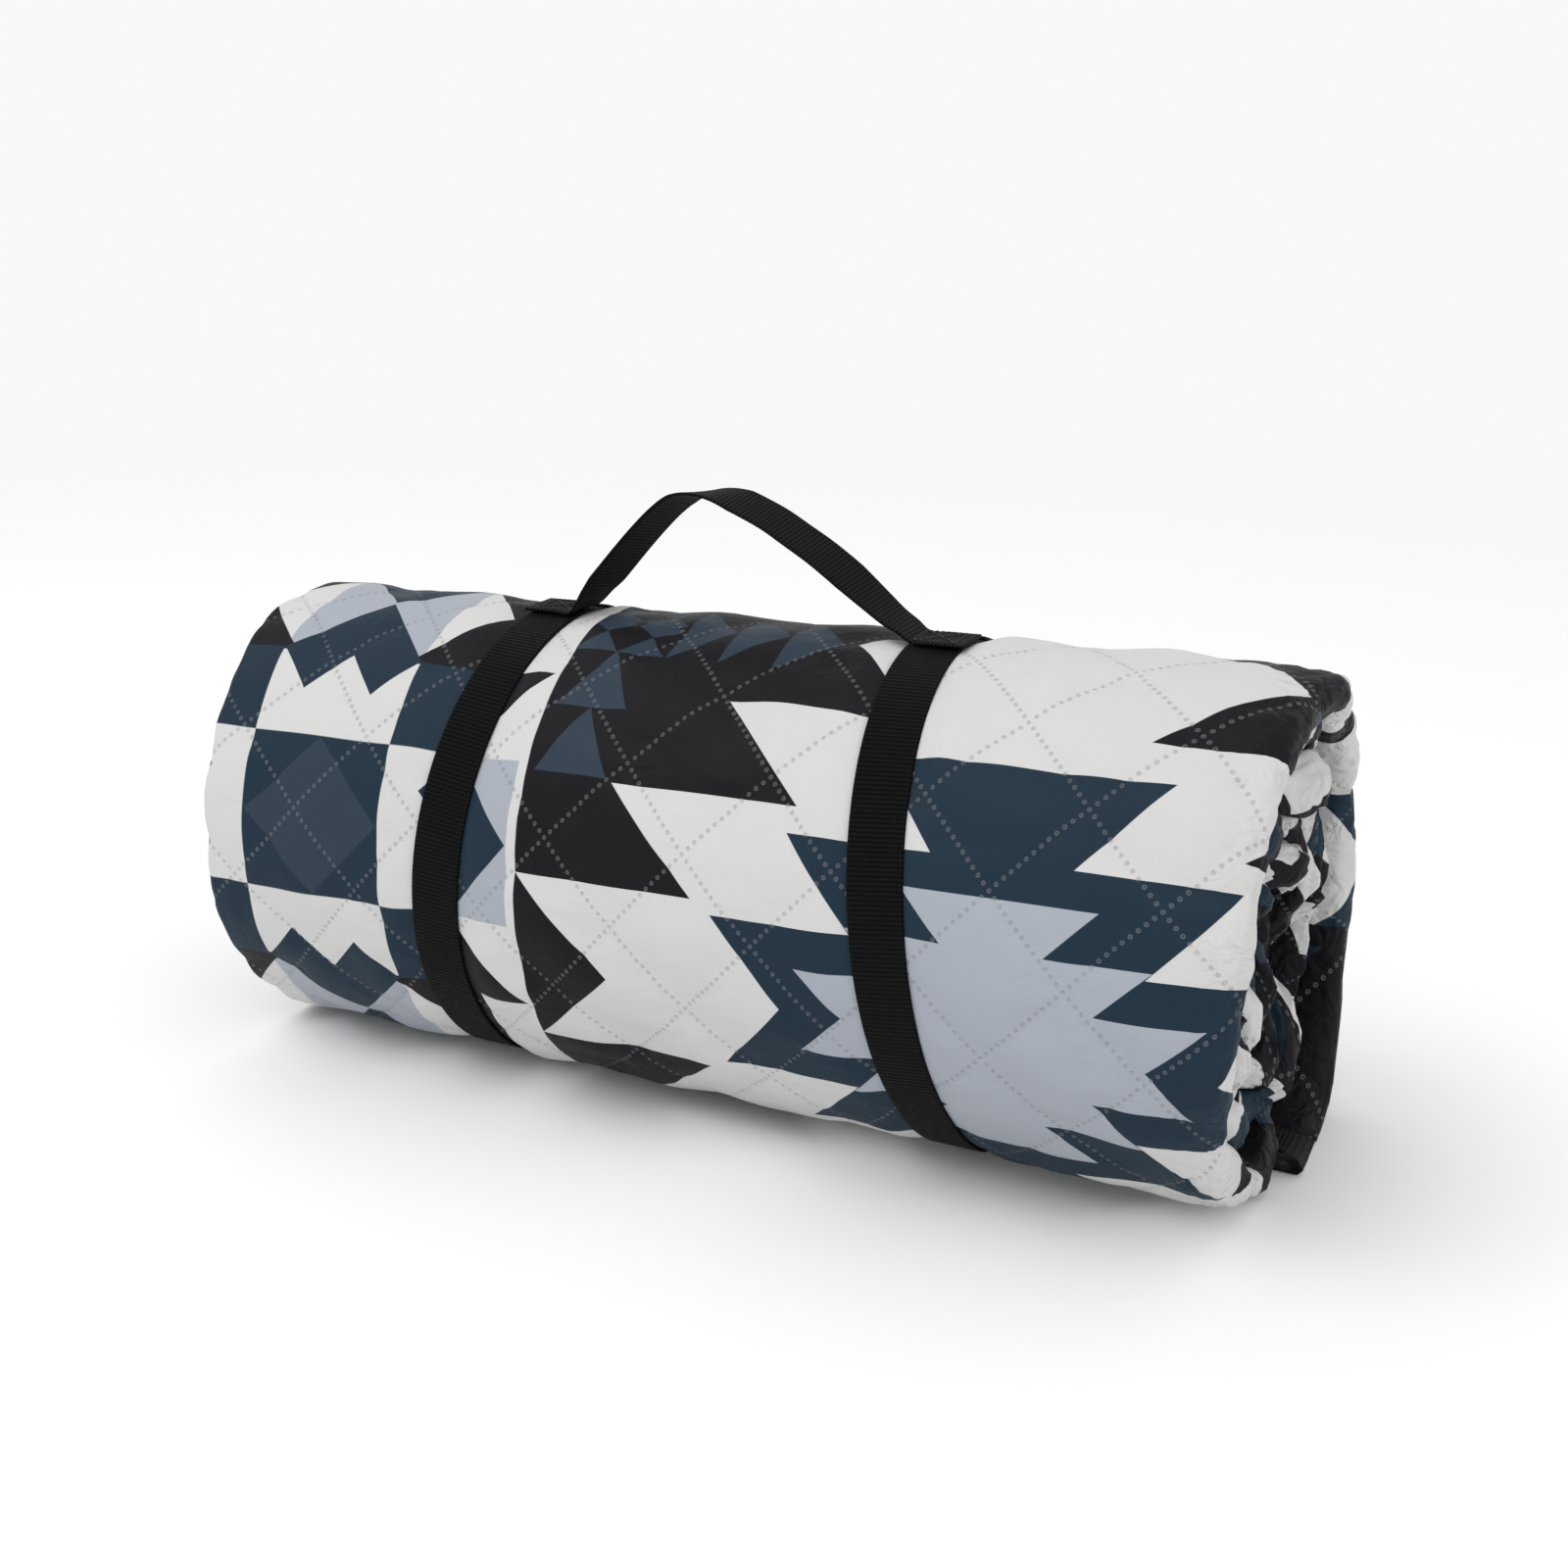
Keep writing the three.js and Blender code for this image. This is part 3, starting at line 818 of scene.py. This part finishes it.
def printed_cloth(colours):
    """Satiny printed polyester: stepped motifs in five colours, rows of weld dots in diamonds,
    puckers at the welds, soft creases, sharper ones at the right fold, and a fine plain weave."""
    s = Shader("printed_cloth")
    uv, across, along = s.cloth()
    u = across / CELL + CENTRE_CELL
    v = along / CELL + PRINT_SKEW * (u - 3)
    pit, rim, near_line = weld_dots(u, (along / CELL + QUILT_SHIFT + QUILT_SKEW * u) / QUILT_RISE)

    weave = (across * 9000).sine() * (along * 9000).sine()
    pucker = s.noise(uv, 110, 3, 0.55, 0.8)
    crease = s.noise(uv, 24, 3, 0.55, 1.6)
    fold_crease = s.noise(uv, 55, 2, 0.5, 2.2)
    at_fold = ((u - 8.0) / 0.9).most(0).least(1)
    height = 0.35 * rim - 0.3 * pit + 1.1 * near_line * (pucker - 0.5) + 0.012 * weave
    height = height + 1.5 * (crease - 0.5) + 3.0 * at_fold * (fold_crease - 0.5)

    colour = s.scale(print_colour(s, u, v, along, colours), 0.95 + 0.1 * s.noise(uv, 9, 3, 0.6))
    # The weld dots' rims and pits are mixed towards a light grey: on the dark print this is a painted
    # glint, and on the white it darkens them.
    colour = s.mix(0.30 * rim + 0.06 * pit, colour, rgba(DOT_GLINT_GREY))
    roughness = 0.52 - 0.14 * rim + 0.12 * (s.noise(uv, 40, 2) - 0.5)
    return s.finish(colour, roughness, s.bump(height, 0.0012, 0.8), Specular_IOR_Level=0.11)


def coated_cloth(colour):
    """The blanket's black coated underside: a smooth film over a fine weave."""
    s = Shader("coated_cloth")
    uv, across, along = s.cloth()
    weave = (across * 5000).sine() * (along * 5000).sine()
    soft = s.noise(uv, 60, 3)
    tint = s.mix(soft, rgba(colour, 0.8), rgba(colour, 1.5))
    return s.finish(tint, 0.4 + 0.15 * soft, s.bump(0.1 * weave + soft, 0.0006, 0.6))


def webbing_cloth(name, colour, pitch=0.0020):
    """Ribbed polyester webbing: rounded ribs across it, fine warp threads along it, a tight
    selvedge, and a little lint. Its colour is painted lighter on the crests of the ribs and threads,
    a painted highlight."""
    s = Shader(name)
    uv, across, along = s.cloth()
    warp = (across * (2 * math.pi / 0.0017)).sine()
    rib = (along * (2 * math.pi / pitch)).sine()
    edge = (across.size() - 0.0112).inside(4000)
    height = rib * (1 - 0.6 * edge) + 0.35 * warp
    lint = s.noise(uv, 700, 2)
    wear = s.noise(uv, 45, 3)
    # The ribs and warp threads are painted lighter on their crests and darker in their grooves, a
    # painted highlight and shade; the wear and lint noise vary the tone at random.
    light = 0.3 + 0.45 * rib + 0.12 * warp + 0.3 * (wear - 0.5) + 0.3 * (lint - 0.5)
    rib_glint_and_wear = rgba([part * 4.0 + 0.002 for part in colour])
    tint = s.mix(light.most(0), rgba(colour, 0.3), rib_glint_and_wear)
    roughness = 0.62 + 0.2 * (lint - 0.5) - 0.06 * rib
    return s.finish(tint, roughness, s.bump(height, 0.0005, 1.0), Specular_IOR_Level=0.09)


def fuzzy_cloth(name, colour, scale, depth):
    """The closure's face: a field of fine loops, or of small stiff hooks."""
    s = Shader(name)
    uv, _, _ = s.cloth()
    cells = s.node("ShaderNodeTexVoronoi", {}, {"Vector": uv, "Scale": scale}).outputs[0]
    cells = s.value(cells)
    fuzz = s.noise(uv, scale * 0.7, 4, 0.7)
    tint = s.mix(fuzz, rgba(colour, 0.6), rgba(colour, 2.6))
    return s.finish(tint, 0.85 - 0.1 * fuzz, s.bump(fuzz - 0.8 * cells, depth, 0.9))


def thread_cloth(colour):
    """Twisted sewing thread."""
    s = Shader("sewing_thread")
    inputs = {"Vector": s.place(), "Scale": 900}
    twist = s.value(s.node("ShaderNodeTexWave", {"bands_direction": "DIAGONAL"}, inputs).outputs[1])
    tint = s.mix(twist, rgba(colour, 0.7), rgba(colour, 1.8))
    return s.finish(tint, 0.5 + 0.1 * twist, s.bump(twist, 0.0001, 0.6))


def studio_floor(colour):
    """Matt pale paper, faintly uneven, that thins out into the backdrop: its cover
    falls from one at the distance FLOOR_WHOLE to zero at FLOOR_GONE, as 3x^2 - 2x^3."""
    s = Shader("studio_floor")
    place = s.place()
    grain = s.noise(place, 3, 2)
    tint = s.mix(grain, rgba(colour, 0.985), rgba(colour))
    split = s.node("ShaderNodeSeparateXYZ", {}, [place])
    x, y = s.value(split.outputs[0]), s.value(split.outputs[1])
    distance = (x * x + y * y) ** 0.5
    reach = ((FLOOR_GONE - distance) / (FLOOR_GONE - FLOOR_WHOLE)).most(0).least(1)
    s.link(reach * reach * (3 - 2 * reach), s.surface.inputs["Alpha"])
    return s.finish(tint, 0.75 + 0.05 * grain, None)


# ---- Settings a user would change ----
class BlanketSizes(bpy.types.PropertyGroup):
    """The blanket's sizes"""

    taper: bpy.props.FloatProperty(
        name="Taper", description="How much thicker the right end is than the middle", default=0.0318
    )
    end_draw: bpy.props.FloatProperty(
        name="End draw-in", description="How far both ends draw in, as a share of the radius",
        default=0.022
    )
    skew: bpy.props.FloatProperty(
        name="Skew", description="How far the right end reaches further at the back",
        default=0.013, unit="LENGTH"
    )
    quilt: bpy.props.FloatProperty(
        name="Quilting", description="Height of the quilted diamonds", default=0.0022, unit="LENGTH"
    )
    wrinkle: bpy.props.FloatProperty(
        name="Wrinkles", description="Height of the soft wrinkles", default=0.0005, unit="LENGTH"
    )
    pinch: bpy.props.FloatProperty(
        name="Strap pinch", description="How far the straps pull the roll in",
        default=0.0030, unit="LENGTH"
    )
    lift: bpy.props.FloatProperty(
        name="Loose end", description="How far the loose end stands off", default=0.033, unit="LENGTH"
    )
    droop: bpy.props.FloatProperty(
        name="Droop", description="How far round the loose corner hangs", default=0.80, subtype="ANGLE"
    )
    fold_wave: bpy.props.FloatProperty(
        name="Fold wave", description="How unevenly the folds end", default=0.0070, unit="LENGTH"
    )
    fold_puff: bpy.props.FloatProperty(
        name="Fold puffs", description="How far the folds puff out between creases",
        default=0.0056, unit="LENGTH"
    )
    dish: bpy.props.FloatProperty(
        name="Dish", description="How far the inner turns lie inside the ends",
        default=0.013, unit="LENGTH"
    )
    crumple: bpy.props.FloatProperty(
        name="Crumple", description="How unevenly the spiral lies at its ends",
        default=0.0062, unit="LENGTH"
    )


class BlanketColours(bpy.types.PropertyGroup):
    """The blanket's colours"""

    white: bpy.props.FloatVectorProperty(
        name="White", description="Ground of the print", subtype="COLOR", default=(0.56, 0.556, 0.553)
    )
    pale: bpy.props.FloatVectorProperty(
        name="Pale blue", description="Heart of the medallion",
        subtype="COLOR", default=(0.335, 0.360, 0.408)
    )
    slate: bpy.props.FloatVectorProperty(
        name="Slate", description="Small triangles and diamonds",
        subtype="COLOR", default=(0.025, 0.040, 0.060)
    )
    navy: bpy.props.FloatVectorProperty(
        name="Navy", description="Medallion and star block",
        subtype="COLOR", default=(0.0105, 0.0250, 0.0420)
    )
    ink: bpy.props.FloatVectorProperty(
        name="Ink", description="Stepped dark column", subtype="COLOR", default=(0.0062, 0.0054, 0.0074)
    )
    webbing: bpy.props.FloatVectorProperty(
        name="Webbing", description="Straps and handle",
        subtype="COLOR", default=(0.0012, 0.0012, 0.0013)
    )
    floor: bpy.props.FloatVectorProperty(
        name="Floor", description="Studio floor", subtype="COLOR", default=(0.93, 0.93, 0.93)
    )


def settings():
    """The sizes in the scene's panel."""
    return bpy.context.scene.camp_blanket_sizes


def colours():
    """The colours in the scene's panel."""
    return bpy.context.scene.camp_blanket_colours


def black_webbing():
    """The one webbing material that the straps, their tails and the handle share."""
    found = bpy.data.materials.get("black_webbing")
    return found or webbing_cloth("black_webbing", list(colours().webbing))


# ---- Operators ----
class CAMP_OT_quilted_roll(bpy.types.Operator):
    """The quilted blanket, folded in quarters and rolled up: one closed padded body"""

    bl_idname = "camp.quilted_roll"
    bl_label = "Quilted Roll"

    def execute(self, context):
        sizes, shades = settings(), colours()
        face = folded_path(FOLD_REACH, True)
        back = folded_path(-FOLD_REACH, False)[::-1]
        profile = np.concatenate([face, back])
        across = across_cloth(face)
        share_back, share_face = np.linspace(0, 1, len(back)), np.linspace(0, 1, len(face))
        cloth = np.concatenate([across, np.interp(share_back, share_face, across[::-1])])
        turns = turn_steps(HEM_TURN, CORE_TURN, 0.0046, 0.0032)
        printed = printed_cloth([shades.white, shades.pale, shades.slate, shades.navy, shades.ink])
        coated = coated_cloth(BACKING_BLACK)
        sides = np.zeros(len(profile), int)
        sides[len(face):] = 1
        roll = swept("quilted_roll", profile, turns, sizes, [printed, coated], cloth, sides)
        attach(roll, "roll")
        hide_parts("printed_face", "wadding", "waterproof_backing")
        return {"FINISHED"}


class CAMP_OT_edge_bindings(bpy.types.Operator):
    """The tape round the blanket's four edges: two wound along the open end, two across the band"""

    bl_idname = "camp.edge_bindings"
    bl_label = "Edge Bindings"

    def execute(self, context):
        sizes = settings()
        tape = webbing_cloth("binding_tape", TAPE_BLACK, 0.0008)
        bands = []
        turns = turn_steps(0, TURNS, 0.005)
        middle, half = -HALF_LENGTH + BINDING / 2, PLY / 2 + 0.00005
        around = np.linspace(0, 2 * np.pi, 16, endpoint=False)
        nx = np.sign(np.cos(around)) * np.abs(np.cos(around)) ** 0.5
        nd = np.sign(np.sin(around)) * np.abs(np.sin(around)) ** 0.5
        for node, ply in (("side_binding_first", 3.5), ("side_binding_second", 2.5)):
            profile = np.stack([middle + BINDING / 2 * nx, ply * PLY + half * nd, nx, nd], 1)
            bands.append((node, profile, turns))
        section = np.concatenate([
            folded_path(FOLD_REACH + 0.00008, False), folded_path(-FOLD_REACH - 0.00002, False)[::-1]
        ])
        bands.append(("outer_hem_binding", section, turn_steps(0, HEM_TURN, 0.003)))
        bands.append(("inner_hem_binding", section, turn_steps(CORE_TURN, TURNS, 0.003)))
        for node, profile, turns in bands:
            piece = swept(node + "_tape", profile, turns, sizes, [tape])
            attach(piece, "roll")
            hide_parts(node)
        return {"FINISHED"}


class CAMP_OT_straps(bpy.types.Operator):
    """The two webbing straps, each a closed ring drawn tight round the roll"""

    bl_idname = "camp.straps"
    bl_label = "Straps"

    def execute(self, context):
        sizes = settings()
        angle = np.linspace(0, 2 * np.pi, 220, endpoint=False)
        for hand in STRAPS:
            line, out = strap_line(hand, angle, STRAP_GAP + WEB_HALF, sizes)
            piece = ribbon(
                f"webbing_strap_{hand}", line, out, WEBBING / 2, WEB_HALF, black_webbing(), closed=True
            )
            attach(piece, "harness")
            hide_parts(f"strap_{hand}")
        return {"FINISHED"}


class CAMP_OT_closures(bpy.types.Operator):
    """The hook-and-loop closure at the back of each strap: a free tail and its two patches"""

    bl_idname = "camp.closures"
    bl_label = "Closures"

    def execute(self, context):
        sizes = settings()
        loops = fuzzy_cloth("loop_field", LOOP_BLACK, 2600, 0.0006)
        hooks = fuzzy_cloth("hook_field", HOOK_BLACK, 1500, 0.0005)
        ramp = math.radians(TAIL_LIFTS - TAIL_LIFTED)
        blend_span = math.radians(HINGE) + np.array([HINGE_BLEND, -HINGE_BLEND])
        for hand in STRAPS:
            # The tail leaves the strap above the hinge, and stands off it by the two patches.
            angle = np.radians(np.linspace(*TAIL_SPAN, 70))
            stand = TOP_OF_STRAP + WEB_HALF + 0.0001
            stand = stand + 0.0022 * smooth((math.radians(TAIL_LIFTS) - angle) / ramp)
            line, out = strap_line(hand, angle, stand, sizes)
            tail = ribbon(f"webbing_tail_{hand}", line, out, WEBBING / 2, WEB_HALF, black_webbing())
            near = strap_line(hand, blend_span, TOP_OF_STRAP, sizes)[0]
            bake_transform(tail)
            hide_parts(f"strap_tail_{hand}")
            patch = np.radians(np.linspace(*PATCH_SPAN, 30))
            for kind, level, field, body in (
                ("loop", PATCH_HALF + 0.0001, loops, "harness"),
                ("hook", 3 * PATCH_HALF + 0.0003, hooks, f"tail_{hand}"),
            ):
                line, out = strap_line(hand, patch, TOP_OF_STRAP + level, sizes)
                piece = ribbon(f"{kind}_field_{hand}", line, out, PATCH_HALF_WIDTH, PATCH_HALF, field)
                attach(piece, body)
                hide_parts(f"{kind}_patch_{hand}")
        return {"FINISHED"}


def handle_course(sizes):
    """The handle's middle line and the way its flat side faces. It lies flat across each strap,
    leaves it at the strap's inner edge, and rises to a broad crown left of the middle. Its near
    edge is the higher one on the left leg and the lower one on the right leg."""
    lie = TOP_OF_STRAP + WEB_HALF + 0.0002
    seats = {}
    for hand, offsets in (("left", (-0.0145, 0.0, 0.0105)), ("right", (-0.0095, 0.0, 0.0145))):
        places = strap_middle(hand, 1.0) + np.array(offsets)
        top = body_point(places, math.pi / 2, HALF_WIDTH - sizes.pinch + lie, sizes)
        seats[hand] = [(place[0], 0.0, place[2]) for place in top]
    rise = [(x, 0.0, z) for x, z in HANDLE_BENDS]
    line = curve_through([*seats["left"], *rise, *seats["right"]], 170)
    run = np.gradient(line, axis=0)
    out = np.cross(run, np.array([0, 1.0, 0]))
    out = out / np.linalg.norm(out, axis=1, keepdims=True)
    out = out * np.sign(out[:, 2:3])
    turn = np.interp(line[:, 0], *np.transpose(HANDLE_TWIST))
    out = out * np.cos(turn)[:, None] + np.array([0, 1.0, 0]) * np.sin(turn)[:, None]
    return line, out, seats


def box_stitches(half):
    """Where the stitches of a crossed box start and end: along its four sides and both diagonals,
    evenly spaced, each as long as eight tenths of its spacing."""
    corners = half * np.array([(-1, -1), (1, -1), (1, 1), (-1, 1)])
    starts, ends = [], []
    for first, last in ((0, 1), (1, 2), (2, 3), (3, 0), (0, 2), (1, 3)):
        run = corners[last] - corners[first]
        count = int(round(np.linalg.norm(run) / STITCH))
        index = np.arange(count)[:, None]
        starts.append(corners[first] + run * (index + 0.1) / count)
        ends.append(corners[first] + run * (index + 0.9) / count)
    return np.concatenate(starts), np.concatenate(ends)


class CAMP_OT_carry_handle(bpy.types.Operator):
    """The webbing handle with both of its sewn ends, and the box of stitches on each"""

    bl_idname = "camp.carry_handle"
    bl_label = "Carry Handle"

    def execute(self, context):
        line, out, seats = handle_course(settings())
        handle = ribbon("webbing_handle", line, out, WEBBING / 2, WEB_HALF, black_webbing())
        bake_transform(handle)
        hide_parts("carry_handle", "handle_end_left", "handle_end_right")
        thread = thread_cloth(THREAD_BLACK)
        starts, ends = box_stitches(BOX_HALF)
        outs = np.tile([0.0, 0.0, 1.0], (len(starts), 1))
        for hand, (before, middle, after) in seats.items():
            slope = (after[2] - before[2]) / (after[0] - before[0])
            height = middle[2] + WEB_HALF + 0.0001

            def laid(flat):
                """Flat places carried onto the sewn end, which leans along the roll."""
                z = height + slope * flat[:, 0]
                return np.stack([middle[0] + flat[:, 0], flat[:, 1], z], 1)

            piece = stitches(f"box_stitch_{hand}", laid(starts), laid(ends), outs, THREAD, thread)
            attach(piece, "harness")
            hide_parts(f"handle_stitching_{hand}")
        return {"FINISHED"}


class CAMP_OT_studio(bpy.types.Operator):
    """A pale floor, soft lights and the camera"""

    bl_idname = "camp.studio"
    bl_label = "Studio"

    def execute(self, context):
        corners = [[-1, -1, 0], [1, -1, 0], [1, 1, 0], [-1, 1, 0]]
        points = FLOOR_SIDE * np.array(corners)
        paper = studio_floor(list(colours().floor))
        mesh_piece("studio_floor", points, np.array([[0, 1, 2, 3]]), materials=[paper])
        world = bpy.data.worlds.new("studio_world")
        world.use_nodes = True
        background = world.node_tree.nodes["Background"]
        background.inputs["Color"].default_value = (1, 1, 1, 1)
        background.inputs["Strength"].default_value = BACKDROP_LIGHT
        context.scene.world = world
        context.scene.view_settings.view_transform = "Standard"
        for lamp in LAMPS:
            self.light(*lamp)
        self.camera(context)
        return {"FINISHED"}

    def light(self, name, place, size, power):
        """A square soft light at a place, aimed at the middle of the roll."""
        data = bpy.data.lights.new(name, "AREA")
        data.size = size
        data.energy = power
        lamp = bpy.data.objects.new(name, data)
        aim = Vector((0, 0, AXIS_Z)) - Vector(place)
        lamp.matrix_world = Matrix.Translation(place) @ aim.to_track_quat("-Z", "Y").to_matrix().to_4x4()
        bpy.context.scene.collection.objects.link(lamp)

    def camera(self, context):
        """Looks at the roll from the front and right, a little above it. The taper tips the whole
        view, because the camera's place is measured from the roll's own axis."""
        data = bpy.data.cameras.new("studio_camera")
        data.sensor_width = 36
        data.lens = LENS
        data.clip_end = 30
        eye = bpy.data.objects.new("studio_camera", data)
        turned = Matrix.Rotation(CAMERA_TURN, 4, "Z") @ Matrix.Rotation(math.pi / 2 - CAMERA_DIP, 4, "X")
        place = Matrix.Translation(CAMERA_PLACE) @ turned
        level = Matrix.Rotation(-settings().taper * HALF_HEIGHT / HALF_LENGTH, 4, "Y")
        eye.matrix_world = Matrix.Translation((0, 0, AXIS_Z)) @ level @ place
        context.scene.collection.objects.link(eye)
        context.scene.camera = eye


class CAMP_PT_blanket(bpy.types.Panel):
    """The camp blanket's pieces"""

    bl_idname = "CAMP_PT_blanket"
    bl_label = "Camp Blanket"
    bl_space_type = "VIEW_3D"
    bl_region_type = "UI"
    bl_category = "Camp Blanket"

    def draw(self, context):
        for group in (context.scene.camp_blanket_sizes, context.scene.camp_blanket_colours):
            box = self.layout.box()
            for name in group.bl_rna.properties.keys():
                if name not in ("rna_type", "name"):
                    box.prop(group, name)
        for operator in OPERATORS:
            self.layout.operator(operator.bl_idname)


OPERATORS = (
    CAMP_OT_studio, CAMP_OT_quilted_roll, CAMP_OT_edge_bindings, CAMP_OT_straps, CAMP_OT_closures,
    CAMP_OT_carry_handle,
)
CLASSES = (BlanketSizes, BlanketColours, *OPERATORS, CAMP_PT_blanket)


def register():
    """Adds the settings, the operators and the panel."""
    for item in CLASSES:
        bpy.utils.register_class(item)
    bpy.types.Scene.camp_blanket_sizes = bpy.props.PointerProperty(type=BlanketSizes)
    bpy.types.Scene.camp_blanket_colours = bpy.props.PointerProperty(type=BlanketColours)


def unregister():
    """Takes them away again."""
    del bpy.types.Scene.camp_blanket_colours
    del bpy.types.Scene.camp_blanket_sizes
    for item in reversed(CLASSES):
        bpy.utils.unregister_class(item)


def main():
    register()
    bpy.ops.camp.studio()
    bpy.ops.camp.quilted_roll()
    bpy.ops.camp.edge_bindings()
    bpy.ops.camp.straps()
    bpy.ops.camp.closures()
    bpy.ops.camp.carry_handle()


if __name__ == "__main__":
    main()
